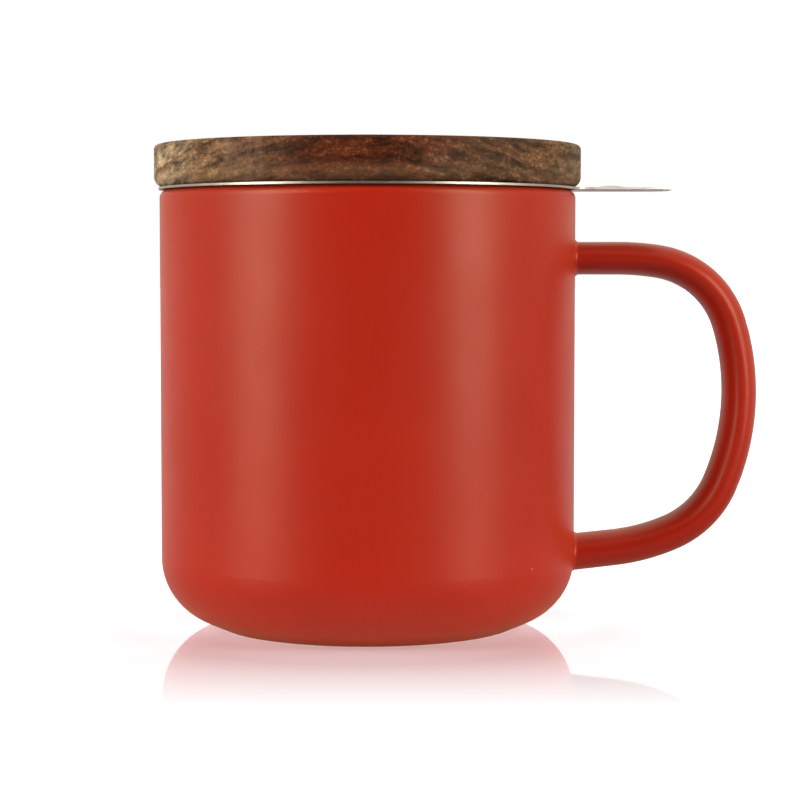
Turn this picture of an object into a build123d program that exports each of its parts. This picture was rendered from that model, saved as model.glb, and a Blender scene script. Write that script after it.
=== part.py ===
"""Tea infuser mug: a stoneware mug with a strap handle, a slotted steel infuser that hangs from
the mug's rim, and a loose wooden lid with a silicone seal that lies on the infuser's flange.

Millimetres. The origin is the centre of the foot ring on the table, +Z is up, and the handle and
the infuser's finger tab point along +X.
"""

import os
from math import cos, radians, sin, tan

from build123d import *

# Mug body
mug_radius = 44.0
mug_height = 92.4
mug_wall = 4.0
mug_floor = 5.0
base_corner = 14.0  # outer rounding between the side and the underside
base_slope = 24.0  # degrees, the underside's rise from the foot ring
lip_outer = 1.8
lip_inner = 1.2
inner_corner = 13.0
foot_inset = 12.5  # from the mug's side in to the foot ring
foot_width = 3.0
foot_recess = 2.0
foot_round = 0.6

# Strap handle, along its centre line from the upper joint to the lower one
handle_drop = 14.35  # from the mug's top down to the upper joint
handle_foot = 15.3  # from the table up to the lower joint
handle_straight = 9.25  # from the mug's side out to the first bend
lead_bend = 53.4  # the gentle start of the upper bend
lead_turn = 9.25
upper_bend = 19.0
upper_turn = 63.7
back_turn = 39.7
lower_bend = 19.9
lower_turn = 43.8
tail_bend = 42.8  # the gentle end of the lower bend
tail_turn = 17.25
strap_width = 12.5
upper_thickness = 6.9  # at the upper joint
back_thickness = 7.25
lower_thickness = 7.8  # at the lower joint
joint_fillet = 0.9
joint_bite = 0.02  # the fillets run this far into the wall, so they meet it at an angle
root_depth = 2.5  # how far the strap's ends run into the clay before they are trimmed

# Infuser
sheet = 0.5
mesh_sheet = 0.5
flange_overhang = 0.2  # beyond the mug's side
collar_gap = 2.0  # between the collar and the mug's wall
collar_depth = 13.0
collar_bend = 1.0  # inside radius between the collar and the flange
basket_rise = 15.0  # from the mug's inner floor up to the basket
wall_lap = 6.0
floor_lip = 3.0
floor_bend = 1.2
tab_length = 20.0  # beyond the flange's edge
tab_width = 16.0
tab_corner = 5.0
tab_root_fillet = 4.0
dimple_offset = 7.5  # from the flange's edge out to the dimple's middle
dimple_radius = 3.8
dimple_rise = 0.5

# Slots in the infuser's wall and floor
slot_width = 0.8
slot_rows = 3
slot_columns = 40
slot_bridge = 2.5  # steel left between one row and the next
slot_margin = 2.6  # steel left above the basket's floor and below the collar
floor_slot_rings = 3
floor_slot_step = 8  # slots added from one ring to the next
floor_bridge = 2.8  # steel left between one ring and the next
floor_margin = 0.9  # steel left between the outer ring and the floor's bend
floor_hub = 6.5  # radius of the plain middle

# Lid
lid_overhang = 0.9  # beyond the flange's edge
lid_thickness = 8.9
lid_top_round = 1.0
lid_under_round = 2.2
plug_depth = 6.0
plug_play = 1.4  # bare wood to collar
plug_round = 0.8
groove_depth = 1.4
groove_height = 3.4
groove_below = 1.6  # wood left under the disc, above the groove
seal_play = 0.3  # seal to collar
bead_height = 0.9  # how far the seal's rounded outside bulges

# Sizes that follow from the ones above
inner_radius = mug_radius - mug_wall
floor_top = foot_recess + mug_floor
foot_radius = mug_radius - foot_inset
shoulder_height = foot_inset * tan(radians(base_slope))
handle_top = mug_height - handle_drop
handle_run = mug_radius + handle_straight
collar_outer = inner_radius - collar_gap
collar_inner = collar_outer - sheet
flange_radius = mug_radius + flange_overhang
flange_top = mug_height + sheet
collar_bottom = mug_height - collar_depth
tube_outer = collar_inner
tube_inner = tube_outer - mesh_sheet
tube_bottom = floor_top + basket_rise
tube_top = collar_bottom + wall_lap
basket_floor = tube_bottom + floor_lip
slots_bottom = basket_floor + slot_margin
slots_top = collar_bottom - slot_margin
slot_length = (slots_top - slots_bottom - (slot_rows - 1) * slot_bridge) / slot_rows
half_column = 180 / slot_columns
floor_flat = tube_inner - mesh_sheet - floor_bend
floor_room = floor_flat - floor_margin - floor_hub
floor_slot_length = (floor_room - (floor_slot_rings - 1) * floor_bridge) / floor_slot_rings
slot_reach = 4 * mesh_sheet  # a cutter's depth through the sheet
tab_reach = flange_radius + tab_length
tab_root = flange_radius - tab_width  # the flange's edge beside the tab lies beyond this
dimple_centre = flange_radius + dimple_offset
dome_radius = (dimple_radius**2 + dimple_rise**2) / (2 * dimple_rise)
lid_radius = flange_radius + lid_overhang
lid_top = flange_top + lid_thickness
plug_radius = collar_inner - plug_play
plug_bottom = flange_top - plug_depth
groove_radius = plug_radius - groove_depth
groove_top = flange_top - groove_below
groove_bottom = groove_top - groove_height
seal_radius = collar_inner - seal_play
band_radius = seal_radius - bead_height


def bend(radius, start, turn):
    """How far out and how far down a bend of the handle goes, from its angle at the start."""
    before, after = radians(start), radians(start + turn)
    return radius * (sin(after) - sin(before)), radius * (cos(before) - cos(after))


# The handle's back bend takes up the height that is left between the two joints
back_start = lead_turn + upper_turn
lower_start = back_start + back_turn
tail_start = lower_start + lower_turn
lead_run, lead_drop = bend(lead_bend, 0, lead_turn)
upper_run, upper_drop = bend(upper_bend, lead_turn, upper_turn)
lower_run, lower_drop = bend(lower_bend, lower_start, lower_turn)
tail_run, tail_drop = bend(tail_bend, tail_start, tail_turn)
end_slope = -tan(radians(tail_start + tail_turn))
end_drop = end_slope * (handle_straight + lead_run + upper_run + lower_run + tail_run)
bends_drop = lead_drop + upper_drop + lower_drop + tail_drop
back_run_share, back_drop_share = bend(1, back_start, back_turn)
back_drop = handle_top - handle_foot - bends_drop - end_drop
back_bend = back_drop / (back_drop_share + end_slope * back_run_share)

os.makedirs("parts", exist_ok=True)


def corner(outline, radius, height):
    """The outline's corner nearest to a point given by its radius and height."""
    return outline.vertices().sort_by_distance((radius, height))[0]


def strap_section(path, at, thickness):
    """The strap's oval cut at a place on its path."""
    with BuildSketch(Plane(path @ at, (0, 1, 0), path % at)) as section:
        Ellipse(strap_width / 2, thickness / 2)
    return section.sketch


# The mug's outer form with nothing hollowed out, which also trims the handle
with BuildPart() as mug_form:
    with BuildSketch(Plane.XZ) as form_outline:
        with BuildLine():
            Polyline(
                (0, 0),
                (foot_radius, 0),
                (mug_radius, shoulder_height),
                (mug_radius, mug_height),
                (0, mug_height),
                close=True,
            )
        make_face()
        fillet(corner(form_outline, mug_radius, shoulder_height), base_corner)
        fillet(corner(form_outline, mug_radius, mug_height), lip_outer)
        fillet(corner(form_outline, foot_radius, 0), foot_round)
    revolve(axis=Axis.Z)

# Mug body: the outer form less its well and the recess inside the foot ring
with BuildPart() as mug_body:
    add(mug_form.part)
    with BuildSketch(Plane.XZ) as well_outline:
        with BuildLine():
            Polyline(
                (0, floor_top),
                (inner_radius, floor_top),
                (inner_radius, mug_height),
                (0, mug_height),
                close=True,
            )
        make_face()
        fillet(corner(well_outline, inner_radius, floor_top), inner_corner)
    revolve(axis=Axis.Z, mode=Mode.SUBTRACT)
    with BuildSketch():
        Circle(foot_radius - foot_width)
    extrude(amount=foot_recess, mode=Mode.SUBTRACT)
    rim_circles = mug_body.edges().filter_by(GeomType.CIRCLE).group_by(Axis.Z)[-1]
    fillet(rim_circles.sort_by(SortBy.RADIUS)[0], lip_inner)
    foot_circles = mug_body.edges().filter_by(GeomType.CIRCLE).group_by(Axis.Z)[0]
    fillet(foot_circles.sort_by(SortBy.RADIUS)[0], foot_round)
mug_body.part.label = "mug_body"
export_step(mug_body.part, "parts/mug_body.step")

# The form that the handle's fillets run into, a hair inside the mug's own surface
with BuildPart() as joint_form:
    with BuildSketch(Plane.XZ):
        add(form_outline.sketch)
        offset(amount=-joint_bite, kind=Kind.INTERSECTION, mode=Mode.REPLACE)
    revolve(axis=Axis.Z)

# Handle: an oval strap along its bends, filleted where it meets the mug and trimmed to it
with BuildPart() as mug_handle:
    with BuildLine(Plane.XZ) as strap_path:
        upper_end = Line((mug_radius - root_depth, handle_top), (handle_run, handle_top))
        lead_arc = JernArc(upper_end @ 1, upper_end % 1, lead_bend, -lead_turn)
        upper_arc = JernArc(lead_arc @ 1, lead_arc % 1, upper_bend, -upper_turn)
        back_arc = JernArc(upper_arc @ 1, upper_arc % 1, back_bend, -back_turn)
        lower_arc = JernArc(back_arc @ 1, back_arc % 1, lower_bend, -lower_turn)
        tail_arc = JernArc(lower_arc @ 1, lower_arc % 1, tail_bend, -tail_turn)
        to_root = (tail_arc @ 1).X - mug_radius + root_depth
        lower_end = Line(tail_arc @ 1, tail_arc @ 1 + (tail_arc % 1) * to_root)
    strap_sections = [
        strap_section(upper_end, 0, upper_thickness),
        strap_section(back_arc, 0.5, back_thickness),
        strap_section(lower_end, 1, lower_thickness),
    ]
    sweep(sections=strap_sections, path=strap_path.line, multisection=True)
    add(joint_form.part)
    fillet(mug_handle.edges(Select.NEW), joint_fillet)
    add(mug_form.part, mode=Mode.SUBTRACT)
mug_handle.part.label = "mug_handle"
export_step(mug_handle.part, "parts/mug_handle.step")

# Infuser rim: the flange with its finger tab, and the collar that hangs into the mug's mouth
with BuildPart() as infuser_rim:
    with BuildSketch(Plane.XZ) as collar_outline:
        with BuildLine():
            Polyline(
                (collar_inner, collar_bottom),
                (collar_outer, collar_bottom),
                (collar_outer, mug_height),
                (flange_radius, mug_height),
                (flange_radius, flange_top),
                (collar_inner, flange_top),
                close=True,
            )
        make_face()
        fillet(corner(collar_outline, collar_outer, mug_height), collar_bend)
        fillet(corner(collar_outline, collar_inner, flange_top), collar_bend + sheet)
    revolve(axis=Axis.Z)
    with BuildSketch(Plane.XY.offset(mug_height)) as tab_outline:
        Circle(flange_radius)
        Rectangle(tab_reach, tab_width, align=(Align.MIN, Align.CENTER))
        tip = tab_outline.vertices().group_by(Axis.X)[-1]
        fillet(tip, tab_corner)
        root = tab_outline.vertices().filter_by_position(Axis.X, tab_root, flange_radius)
        fillet(root, tab_root_fillet)
        Circle(collar_outer + collar_bend, mode=Mode.SUBTRACT)
    extrude(amount=sheet)
    dimple_plane = Plane((dimple_centre, 0, mug_height), (1, 0, 0), (0, -1, 0))
    with BuildSketch(dimple_plane):
        with BuildLine():
            Polyline((0, sheet + dimple_rise), (0, 0), (dimple_radius, 0), (dimple_radius, sheet))
            RadiusArc((dimple_radius, sheet), (0, sheet + dimple_rise), -dome_radius)
        make_face()
    revolve(axis=Axis((dimple_centre, 0, 0), (0, 0, 1)))
    with BuildSketch(dimple_plane):
        with BuildLine():
            Polyline((0, dimple_rise), (0, 0), (dimple_radius, 0))
            RadiusArc((dimple_radius, 0), (0, dimple_rise), -dome_radius)
        make_face()
    revolve(axis=Axis((dimple_centre, 0, 0), (0, 0, 1)), mode=Mode.SUBTRACT)
infuser_rim.part.label = "infuser_rim"
export_step(infuser_rim.part, "parts/infuser_rim.step")

# Infuser wall: a thin tube with staggered rows of upright slots
with BuildPart() as infuser_wall:
    with BuildSketch(Plane.XY.offset(tube_bottom)):
        Circle(tube_outer)
        Circle(tube_inner, mode=Mode.SUBTRACT)
    extrude(amount=tube_top - tube_bottom)
    for row in range(slot_rows):
        row_height = slots_bottom + slot_length / 2 + row * (slot_length + slot_bridge)
        row_start = (row % 2) * half_column
        with Locations((0, 0, row_height)):
            with PolarLocations(tube_inner, slot_columns, start_angle=row_start):
                Box(slot_reach, slot_width, slot_length, mode=Mode.SUBTRACT)
infuser_wall.part.label = "infuser_wall"
export_step(infuser_wall.part, "parts/infuser_wall.step")

# Infuser floor: a shallow pan pressed into the tube from below, with rings of radial slots
with BuildPart() as infuser_floor:
    with BuildSketch(Plane.XZ) as pan_outline:
        with BuildLine():
            Polyline(
                (0, basket_floor - mesh_sheet),
                (tube_inner - mesh_sheet, basket_floor - mesh_sheet),
                (tube_inner - mesh_sheet, tube_bottom),
                (tube_inner, tube_bottom),
                (tube_inner, basket_floor),
                (0, basket_floor),
                close=True,
            )
        make_face()
        fillet(corner(pan_outline, tube_inner, basket_floor), floor_bend + mesh_sheet)
        pan_inside = corner(pan_outline, tube_inner - mesh_sheet, basket_floor - mesh_sheet)
        fillet(pan_inside, floor_bend)
    revolve(axis=Axis.Z)
    for ring in range(floor_slot_rings):
        ring_radius = floor_hub + floor_slot_length / 2 + ring * (floor_slot_length + floor_bridge)
        with Locations((0, 0, basket_floor)):
            with PolarLocations(ring_radius, floor_slot_step * (ring + 1)):
                Box(floor_slot_length, slot_width, slot_reach, mode=Mode.SUBTRACT)
infuser_floor.part.label = "infuser_floor"
export_step(infuser_floor.part, "parts/infuser_floor.step")

# Lid: a wooden disc with rounded edges, turned with a plug and a groove for the seal
with BuildPart() as lid_disc:
    with BuildSketch(Plane.XZ) as lid_outline:
        with BuildLine():
            Polyline(
                (0, plug_bottom),
                (plug_radius, plug_bottom),
                (plug_radius, groove_bottom),
                (groove_radius, groove_bottom),
                (groove_radius, groove_top),
                (plug_radius, groove_top),
                (plug_radius, flange_top),
                (lid_radius, flange_top),
                (lid_radius, lid_top),
                (0, lid_top),
                close=True,
            )
        make_face()
        fillet(corner(lid_outline, plug_radius, plug_bottom), plug_round)
        fillet(corner(lid_outline, lid_radius, flange_top), lid_under_round)
        fillet(corner(lid_outline, lid_radius, lid_top), lid_top_round)
    revolve(axis=Axis.Z)
lid_disc.part.label = "lid_disc"
export_step(lid_disc.part, "parts/lid_disc.step")

# Lid seal: a silicone ring that fills the groove and bulges towards the collar
with BuildPart() as lid_seal:
    with BuildSketch(Plane.XZ):
        with BuildLine():
            Polyline(
                (band_radius, groove_top),
                (groove_radius, groove_top),
                (groove_radius, groove_bottom),
                (band_radius, groove_bottom),
            )
            ThreePointArc(
                (band_radius, groove_bottom),
                (seal_radius, (groove_bottom + groove_top) / 2),
                (band_radius, groove_top),
            )
        make_face()
    revolve(axis=Axis.Z)
lid_seal.part.label = "lid_seal"
export_step(lid_seal.part, "parts/lid_seal.step")
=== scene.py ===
"""Tea infuser mug: red satin stoneware, slotted steel infuser and a brown wooden lid, on a pale floor."""

import math

import bpy
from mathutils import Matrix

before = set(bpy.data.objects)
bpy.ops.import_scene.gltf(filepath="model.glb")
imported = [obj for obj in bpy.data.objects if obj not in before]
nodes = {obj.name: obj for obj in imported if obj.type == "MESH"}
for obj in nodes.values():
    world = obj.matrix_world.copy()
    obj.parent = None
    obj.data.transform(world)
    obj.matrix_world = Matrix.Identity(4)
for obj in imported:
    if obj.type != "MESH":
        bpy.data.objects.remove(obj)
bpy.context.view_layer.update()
scene = bpy.context.scene
scene.view_settings.view_transform = "Standard"

WHITE = (1.0, 1.0, 1.0)
WARM = (1.0, 0.965, 0.72)  # the colour of the studio's light
PALE = (1.0, 0.975, 0.80)  # the colour of the surroundings where the mug mirrors them
FLOOR_LIGHT = 1.02  # how bright the lamps make a white floor beside the mug
MIRROR_RED = 1.4  # how much redder than its object a reflection in the floor is
AIM_HEIGHT = 0.05  # the lamps face this height on the mug's axis


class Tree:
    """Short helpers for the nodes of one material or world."""

    def __init__(self, tree):
        self.tree = tree

    def node(self, kind, **settings):
        n = self.tree.nodes.new("ShaderNode" + kind)
        for key, value in settings.items():
            setattr(n, key, value)
        return n

    def put(self, socket, value):
        """A link if value is an output socket, and a plain value otherwise."""
        if isinstance(value, bpy.types.NodeSocket):
            self.tree.links.new(value, socket)
        elif value is not None:
            socket.default_value = value

    def math(self, op, a, b=None, c=None, clamp=False):
        n = self.node("Math", operation=op, use_clamp=clamp)
        for socket, value in zip(n.inputs, (a, b, c)):
            self.put(socket, value)
        return n.outputs[0]

    def times(self, product, *others):
        for other in others:
            product = self.math("MULTIPLY", product, other)
        return product

    def plus(self, total, *others):
        for other in others:
            total = self.math("ADD", total, other)
        return total

    def length(self, a, b):
        return self.math("SQRT", self.plus(self.times(a, a), self.times(b, b)))

    def span(self, value, low, high, to_low=0.0, to_high=1.0, smooth=False):
        """Maps low..high to to_low..to_high and holds the ends."""
        n = self.node("MapRange", clamp=True)
        if smooth:
            n.interpolation_type = "SMOOTHSTEP"
        self.put(n.inputs["Value"], value)
        for key, x in (("From Min", low), ("From Max", high), ("To Min", to_low), ("To Max", to_high)):
            n.inputs[key].default_value = x
        return n.outputs["Result"]

    def mix(self, fac, a, b, blend="MIX"):
        n = self.node("Mix", data_type="RGBA", blend_type=blend)
        self.put(n.inputs[0], fac)
        for socket, value in ((n.inputs[6], a), (n.inputs[7], b)):
            self.put(socket, (*value, 1) if isinstance(value, tuple) else value)
        return n.outputs[2]

    def xyz(self, vector):
        n = self.node("SeparateXYZ")
        self.put(n.inputs[0], vector)
        return n.outputs[0], n.outputs[1], n.outputs[2]

    def vector(self, x, y, z):
        n = self.node("CombineXYZ")
        for socket, value in zip(n.inputs, (x, y, z)):
            self.put(socket, value)
        return n.outputs[0]

    def any_mirror(self, rays):
        return self.math("MAXIMUM", rays["Is Glossy Ray"], rays["Is Transmission Ray"])


class Mat(Tree):
    """A material with one Principled shader, and the textures that feed it."""

    def __init__(self, name):
        self.mat = bpy.data.materials.new(name)
        self.mat.use_nodes = True
        super().__init__(self.mat.node_tree)
        self.bsdf = self.tree.nodes["Principled BSDF"]
        self.output = self.tree.nodes["Material Output"]

    def set(self, **values):
        """Values or links on the shader's own sockets."""
        for key, value in values.items():
            self.put(self.bsdf.inputs[key.replace("_", " ")], value)

    def place(self, y=1.0, z=1.0):
        """The frame's coordinates in metres, with Y and Z scaled to stretch a texture along them."""
        m = self.node("Mapping")
        self.put(m.inputs["Vector"], self.node("TexCoord").outputs["Object"])
        m.inputs["Scale"].default_value = (1.0, y, z)
        return m.outputs["Vector"]

    def noise(self, vector, scale, detail=2.0, rough=0.5, distort=0.0):
        n = self.node("TexNoise")
        self.put(n.inputs["Vector"], vector)
        n.inputs["Scale"].default_value = scale
        n.inputs["Detail"].default_value = detail
        n.inputs["Roughness"].default_value = rough
        n.inputs["Distortion"].default_value = distort
        return n.outputs["Fac"]

    def cells(self, vector, scale):
        """The distance to the nearest of many scattered points."""
        n = self.node("TexVoronoi")
        self.put(n.inputs["Vector"], vector)
        n.inputs["Scale"].default_value = scale
        return n.outputs["Distance"]

    def ramp(self, value, *stops):
        n = self.node("ValToRGB")
        self.put(n.inputs["Fac"], value)
        ramp = n.color_ramp
        while len(ramp.elements) < len(stops):
            ramp.elements.new(0.5)
        for element, (at, colour) in zip(ramp.elements, stops):
            element.position = at
            element.color = (*colour, 1)
        return n.outputs["Color"]

    def bump(self, height, strength, distance, under=None):
        n = self.node("Bump")
        self.put(n.inputs["Height"], height)
        n.inputs["Strength"].default_value = strength
        n.inputs["Distance"].default_value = distance
        self.put(n.inputs["Normal"], under)
        return n.outputs["Normal"]


def red_glaze():
    """Satin red glaze: faint clouds, fine orange peel, a few specks, and bare clay under the foot ring."""
    deep_red, bright_red, grain_red = (0.422, 0.0115, 0.0024), (0.458, 0.0150, 0.0036), (0.30, 0.010, 0.003)
    pale_speck, dark_clay, pale_clay = (0.70, 0.35, 0.28), (0.36, 0.24, 0.16), (0.55, 0.42, 0.31)
    gloss_tint, sheen_tint = (1.0, 0.98, 0.88, 1.0), (1.0, 0.50, 0.08, 1.0)
    m = Mat("red_glaze")
    p = m.place()
    z = m.xyz(p)[2]
    clouds = m.noise(p, scale=38, detail=4, rough=0.55, distort=0.3)
    red = m.ramp(clouds, (0.3, deep_red), (0.7, bright_red))
    grain = m.noise(p, scale=900, detail=3, rough=0.6)
    red = m.mix(m.span(grain, 0.35, 0.75, 0.0, 0.10), red, grain_red)
    rare = m.math("GREATER_THAN", m.noise(p, scale=41, detail=1), 0.66)
    speck = m.times(m.math("LESS_THAN", m.cells(p, scale=150), 0.045), rare, 0.45)
    red = m.mix(speck, red, pale_speck)
    glaze_edge = m.math("MULTIPLY_ADD", m.noise(p, scale=420), 0.0002, 0.00003)
    bare = m.math("LESS_THAN", z, glaze_edge)
    clay = m.ramp(m.noise(p, scale=1400, detail=4, rough=0.7), (0.3, dark_clay), (0.75, pale_clay))
    satin = m.span(m.noise(p, scale=60, detail=3, rough=0.6), 0.3, 0.7, 0.355, 0.425)
    peel = m.bump(m.noise(p, scale=620, detail=3, rough=0.55), strength=0.10, distance=0.00012)
    slow = m.bump(m.noise(p, scale=55), strength=0.10, distance=0.0008, under=peel)
    m.set(Base_Color=m.mix(bare, red, clay), Roughness=m.math("MAXIMUM", satin, m.times(bare, 0.9)))
    m.set(Normal=slow, IOR=1.47, Specular_IOR_Level=0.37, Specular_Tint=gloss_tint)
    m.set(Sheen_Weight=0.13, Sheen_Roughness=0.5, Sheen_Tint=sheen_tint)
    return m.mat


def steel(name, dark, bright, rough):
    """Stainless sheet with brush lines round the mug's axis. On the rim's tab its side and lower faces are
    made matt and painted pale, as a painted reflection of the white floor; its top face only partly.
    """
    # The second colour below is a painted reflection: near-white for the tab's side and lower faces
    stained, matt = (0.50, 0.48, 0.46), (0.92, 0.96, 1.0)
    line_stretch = 0.004
    m = Mat(name)
    p = m.place()
    x, y, z = m.xyz(p)
    around = m.times(m.math("ARCTAN2", y, x), line_stretch)
    brush = m.noise(m.vector(m.length(x, y), around, z), scale=5200, detail=3, rough=0.65)
    stain = m.noise(p, scale=45, detail=4, rough=0.6)
    tone = m.ramp(brush, (0.25, dark), (0.75, bright))
    tone = m.mix(m.span(stain, 0.4, 0.7, 0.0, 0.12), tone, stained)
    up = m.xyz(m.node("NewGeometry").outputs["Normal"])[2]
    on_tab = m.span(x, 0.0445, 0.0480)
    # Painted reflection: the tab's side and lower faces are made pale and rough, its top less so
    matt_and_painted_pale = m.times(on_tab, m.span(up, 0.3, 0.7, 1.0, 0.3))
    worn = m.span(m.math("MULTIPLY_ADD", stain, 0.4, brush), 0.4, 1.0, rough, rough + 0.14)
    rolled = m.node("Bevel", samples=6)
    rolled.inputs["Radius"].default_value = 0.00012
    m.set(Base_Color=m.mix(m.times(matt_and_painted_pale, 0.95), tone, matt))
    m.set(Roughness=m.math("MULTIPLY_ADD", matt_and_painted_pale, 0.40, worn), Metallic=1.0, Anisotropic=0.45)
    m.set(Normal=m.bump(brush, strength=0.05, distance=0.00003, under=rolled.outputs[0]))
    return m.mat


def lid_wood():
    """Brown hardwood with its fibres along Y: pale sapwood at -X, arched growth rings, flecks and pores."""
    late_tint, grey_streak, pale_fleck = (0.42, 0.31, 0.24), (0.29, 0.185, 0.135), (0.36, 0.26, 0.19)
    # The first colour below is painted light for the lid's lower edge; the second is the pores' own colour
    painted_underlight, open_pore = (0.34, 0.185, 0.105), (0.022, 0.009, 0.005)
    half_width = 0.045
    seat_height = 0.0925
    year_width = 0.0041
    heart_x, heart_z = 0.004, 0.040
    slant_x, slant_z = 0.10, 0.16
    bend_radius = 0.020  # shorter than the rings, so the mottle is drawn out along them
    m = Mat("lid_wood")
    x, y, z = m.xyz(m.place())

    # Growth rings round a heart that slants along the fibres
    warp = m.math("SUBTRACT", m.noise(m.place(y=0.12), scale=60, detail=3, rough=0.55), 0.5)
    ripple = m.math("SUBTRACT", m.noise(m.place(y=0.10), scale=260), 0.5)
    from_heart_x = m.math("SUBTRACT", x, m.math("MULTIPLY_ADD", y, slant_x, heart_x))
    from_heart_z = m.math("SUBTRACT", z, m.math("MULTIPLY_ADD", y, slant_z, heart_z))
    ring = m.length(from_heart_x, from_heart_z)
    ring = m.plus(m.times(warp, 0.0035), m.times(ripple, 0.0012), ring)
    years = m.math("FRACT", m.math("DIVIDE", ring, year_width))
    late = m.times(m.span(years, 0.55, 0.93, smooth=True), m.span(years, 1.0, 0.93, smooth=True))
    bold = m.span(m.noise(m.place(y=0.1), scale=95), 0.36, 0.58, 0.0, 0.9)
    bold = m.plus(bold, m.span(x, -0.030, -0.038, 0.0, 0.6))

    # Broad tones from the pale side to the dark heart and out again
    across = m.plus(m.times(warp, 0.020), m.times(ripple, 0.006), x)
    tone = m.ramp(
        m.span(across, -half_width, half_width),
        (0.03, (0.430, 0.300, 0.205)),
        (0.12, (0.262, 0.142, 0.078)),
        (0.26, (0.150, 0.064, 0.034)),
        (0.41, (0.097, 0.0182, 0.0046)),
        (0.58, (0.096, 0.0192, 0.0052)),
        (0.74, (0.112, 0.041, 0.020)),
        (0.90, (0.144, 0.065, 0.031)),
        (1.00, (0.190, 0.112, 0.064)),
    )
    late_tone = m.mix(1.0, tone, late_tint, "MULTIPLY")
    tone = m.mix(m.math("MULTIPLY", late, bold, clamp=True), tone, late_tone)

    # Mottle along the rings, flecks and a few pale streaks
    bend = m.times(m.math("ARCTAN2", from_heart_x, from_heart_z), bend_radius)
    arcs = m.vector(ring, m.times(y, 0.20), bend)
    mottle = m.noise(arcs, scale=760, detail=5, rough=0.70)
    fleck = m.noise(m.place(y=0.08), scale=1600, rough=0.6)
    blotch = m.noise(arcs, scale=190, detail=3, rough=0.6)
    fine_shade = m.span(fleck, 0.30, 0.72, 0.52, 1.38)
    middle_shade = m.span(mottle, 0.34, 0.66, 0.16, 1.60)
    broad_shade = m.span(blotch, 0.35, 0.65, 0.80, 1.14)
    shade = m.times(middle_shade, fine_shade, broad_shade)
    tone = m.mix(1.0, tone, m.vector(shade, shade, shade), "MULTIPLY")
    streaks = m.span(m.noise(m.place(y=0.1, z=0.22), scale=520, detail=3, rough=0.6), 0.42, 0.60)
    right_of = m.span(x, -0.0300, -0.0265, smooth=True)
    left_of = m.span(x, -0.0185, -0.0220, smooth=True)
    tone = m.mix(m.times(right_of, left_of, streaks, 0.34), tone, grey_streak)
    pale = m.times(m.span(fleck, 0.56, 0.72), m.span(mottle, 0.46, 0.64, 0.0, 0.46))
    more_below = m.span(z, seat_height + 0.0015, seat_height + 0.0060, 1.9, 0.7)
    more_right = m.span(x, 0.006, 0.016, 0.8, 1.5)
    pale = m.times(pale, more_below, more_right)
    tone = m.mix(pale, tone, pale_fleck)

    # The lower edge painted paler, as painted light from below, and open pores
    low = m.span(z, seat_height + 0.0047, seat_height + 0.0020)
    tone = m.mix(m.times(low, m.span(blotch, 0.28, 0.58), 0.26), tone, painted_underlight)
    pore = m.span(m.cells(m.place(y=0.045), scale=1500), 0.30, 0.12)
    pore = m.times(pore, m.span(m.noise(m.place(y=0.3), scale=300), 0.45, 0.62))
    tone = m.mix(m.times(pore, 0.6), tone, open_pore)

    height = m.math("SUBTRACT", m.times(fleck, 0.5), pore)
    m.set(Base_Color=tone, Roughness=m.span(mottle, 0.3, 0.75, 0.52, 0.70), Specular_IOR_Level=0.15)
    m.set(Normal=m.bump(height, strength=0.30, distance=0.00012))
    return m.mat


def silicone():
    """Pale milky silicone with a soft sheen and a faint moulded texture."""
    milky, pale = (0.74, 0.73, 0.70), (0.84, 0.83, 0.80)
    m = Mat("silicone")
    p = m.place()
    haze = m.noise(p, scale=130, detail=3, rough=0.6)
    m.set(Base_Color=m.ramp(haze, (0.3, milky), (0.7, pale)), Roughness=m.span(haze, 0.3, 0.7, 0.42, 0.55))
    m.set(IOR=1.41, Subsurface_Weight=0.25, Subsurface_Scale=0.0015)
    m.set(Normal=m.bump(m.noise(p, scale=2400), strength=0.08, distance=0.00008))
    return m.mat


glaze = red_glaze()
finishes = {
    "mug_body": glaze,
    "mug_handle": glaze,
    # The rim is the same steel as the wall and floor, toned darker: painted shade that dims its reflections
    # of the lamps
    "infuser_rim": steel("steel_rim", dark=(0.33, 0.32, 0.32), bright=(0.43, 0.42, 0.42), rough=0.28),
    "infuser_wall": steel("steel_wall", dark=(0.46, 0.45, 0.45), bright=(0.56, 0.55, 0.55), rough=0.28),
    "infuser_floor": steel("steel_floor", dark=(0.46, 0.45, 0.45), bright=(0.56, 0.55, 0.55), rough=0.30),
    "lid_disc": lid_wood(),
    "lid_seal": silicone(),
}
for name, finish in finishes.items():
    nodes[name].data.materials.clear()
    nodes[name].data.materials.append(finish)


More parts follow.
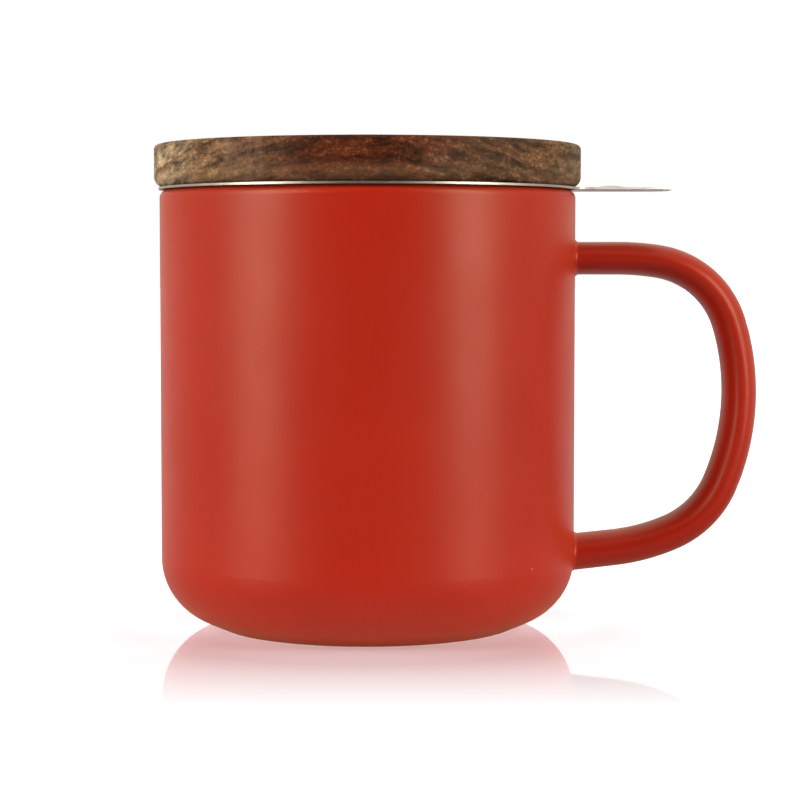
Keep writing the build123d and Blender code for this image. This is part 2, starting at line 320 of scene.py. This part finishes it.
def floor_material():
    """White floor that is seen as white, keeps the shadow, and mirrors the foot with a fading gloss."""
    m = Mat("pale_floor")
    x, y = m.xyz(m.place())[:2]
    radius = m.length(x, y)
    rays = m.node("LightPath").outputs
    mirrored = m.any_mirror(rays)

    # The share of white that the lamps light, neutral under their warm light
    near_share = m.span(radius, 0.050, 0.082, 0.70, 0.0)
    wide_share = m.span(radius, 0.10, 0.30, 0.28, 0.90)
    back_fade = m.span(y, -0.04, 0.02, 1.0, 0.45)
    far_fade = m.span(radius, 0.45, 0.80, 1.0, 0.0)
    grey = m.times(m.plus(near_share, wide_share), back_fade, far_fade)
    mirror_loss = m.times(mirrored, m.span(radius, 0.06, 0.13, 0.35, 0.7))
    dimmed = m.times(grey, m.math("SUBTRACT", 1.0, mirror_loss))
    m.set(Base_Color=m.vector(*[m.times(dimmed, min(WARM) / part) for part in WARM]))
    m.set(Roughness=0.6, Specular_IOR_Level=0.0)

    # The rest of the white: for the camera, for what mirrors the floor behind, and as a glow at the foot
    # that lights the mug's base though it is no lamp. The camera's white is lifted beside, behind and in
    # front of the foot as painted light over the mug's shadow, and lowered just behind the foot as a
    # painted contact shadow.
    painted_foot_light_and_shadow = m.times(m.span(radius, 0.034, 0.052, 0.32, 0.0), m.span(y, -0.004, 0.012, 1.0, -1.3))
    front_white = m.span(y, -0.045, 0.0, 1.01, 1.13)
    back_painted_light = m.span(y, -0.02, 0.02, 0.0, 0.20)
    side_painted_light = m.plus(m.span(radius, 0.048, 0.065, 0.0, 0.04), m.span(radius, 0.07, 0.11, 0.0, 0.02))
    white = m.plus(front_white, back_painted_light, side_painted_light, painted_foot_light_and_shadow)
    rest = m.math("MULTIPLY_ADD", grey, -FLOOR_LIGHT * min(WARM), white)
    behind = m.plus(m.span(y, -0.03, 0.10, 0.0, 0.40), m.span(y, 1.0, 2.4, 0.0, 0.60))
    # A glow seen by diffuse rays near the foot, which lights the mug's base like a lamp
    foot_glow = m.times(rays["Is Diffuse Ray"], m.span(radius, 0.045, 0.12, 0.5, 0.0))
    seen = m.math("MAXIMUM", rays["Is Camera Ray"], m.times(mirrored, behind))
    glow = m.node("Emission")
    m.put(glow.inputs["Color"], m.vector(rest, rest, rest))
    m.put(glow.inputs["Strength"], m.math("MAXIMUM", seen, foot_glow))
    matt = m.node("AddShader")
    m.put(matt.inputs[0], m.bsdf.outputs[0])
    m.put(matt.inputs[1], glow.outputs[0])

    # The gloss fades away from the foot, and when it is seen from above
    gloss = m.node("BsdfGlossy")
    gloss.inputs["Roughness"].default_value = 0.03
    gloss.inputs["Color"].default_value = (MIRROR_RED, 1 / PALE[1], 1 / PALE[2], 1)
    reach = m.math("MAXIMUM", m.math("ABSOLUTE", y), m.times(m.math("ABSOLUTE", x), 0.55))
    facing = m.node("LayerWeight").outputs["Facing"]
    share = m.times(m.span(reach, 0.032, 0.096, 0.60, 0.0), m.span(facing, 0.40, 0.78, 0.2, 1.0))
    sheen = m.node("Fresnel")
    sheen.inputs["IOR"].default_value = 1.45
    surface = m.node("MixShader")
    seen_gloss = m.times(share, rays["Is Camera Ray"])
    m.put(surface.inputs[0], m.plus(seen_gloss, m.times(sheen.outputs[0], mirrored)))
    m.put(surface.inputs[1], matt.outputs[0])
    m.put(surface.inputs[2], gloss.outputs[0])
    m.put(m.output.inputs["Surface"], surface.outputs[0])
    return m.mat


def floor(width):
    half = width / 2
    mesh = bpy.data.meshes.new("floor")
    corners = [(-half, -half, 0), (half, -half, 0), (half, half, 0), (-half, half, 0)]
    mesh.from_pydata(corners, [], [(0, 1, 2, 3)])
    mesh.materials.append(floor_material())
    obj = bpy.data.objects.new("floor", mesh)
    scene.collection.objects.link(obj)


def softbox(name, azimuth, height, distance, size, power):
    """A soft area lamp that faces the mug. Azimuth 0 is at the camera, and positive is towards +X."""
    lamp = bpy.data.lights.new(name, "AREA")
    lamp.shape = "RECTANGLE"
    lamp.size, lamp.size_y = size
    lamp.energy = power
    lamp.color = WARM
    obj = bpy.data.objects.new(name, lamp)
    a = math.radians(azimuth)
    obj.location = (math.sin(a) * distance, -math.cos(a) * distance, height)
    away = obj.location.copy()
    away.z -= AIM_HEIGHT
    obj.rotation_euler = away.to_track_quat("Z", "Y").to_euler()
    scene.collection.objects.link(obj)


def studio_world():
    """White where it is seen or mirrored, but dim behind the camera, and a low fill for the rest."""
    world = bpy.data.worlds.new("studio")
    scene.world = world
    world.use_nodes = True
    w = Tree(world.node_tree)
    rays = w.node("LightPath").outputs
    x, y, z = w.xyz(w.node("TexCoord").outputs["Generated"])
    low_back = w.times(w.span(y, 0.92, 0.98, 0.0, 0.5), w.span(z, 0.05, 0.12, 1.0, 0.0))
    any_mirror = w.any_mirror(rays)
    ahead = w.span(y, -0.80, -0.25, 0.01, 1.0)
    right_fade = w.span(x, 0.15, 0.60, 1.0, 0.66)
    left_fade = w.span(x, -0.30, -0.60, 1.0, 0.70)
    mirrored = w.times(any_mirror, ahead, w.math("SUBTRACT", 1.0, low_back), right_fade, left_fade)
    back_fill = w.span(y, -0.60, -0.05, 0.03, 0.58)
    top_fade = w.span(z, 0.25, 0.70, 1.0, 0.75)
    background = w.tree.nodes["Background"]
    unseen = w.mix(any_mirror, WARM, PALE)
    w.put(background.inputs["Color"], w.mix(rays["Is Camera Ray"], unseen, WHITE))
    level = w.math("MAXIMUM", rays["Is Camera Ray"], mirrored)
    level = w.math("MAXIMUM", level, w.times(back_fill, top_fade))
    w.put(background.inputs["Strength"], level)


def photo_camera(place, tilt, lens):
    """A level camera that looks along +Y and tilts down by tilt radians."""
    data = bpy.data.cameras.new("camera")
    data.sensor_width = 36.0
    data.lens = lens
    data.clip_start = 0.01
    camera = bpy.data.objects.new("camera", data)
    camera.location = place
    camera.rotation_euler = (math.radians(90) - tilt, 0, 0)
    scene.collection.objects.link(camera)
    scene.camera = camera


floor(width=12)
softbox("key_left", azimuth=-59, height=0.50, distance=1.25, size=(0.55, 1.0), power=15.8)
softbox("key_right", azimuth=58, height=0.50, distance=1.25, size=(0.50, 1.0), power=14.6)
softbox("overhead", azimuth=0, height=1.5, distance=0.05, size=(1.2, 1.2), power=1.5)
studio_world()
photo_camera(place=(0.00685, -0.4841, 0.0774), tilt=0.061, lens=102.2)
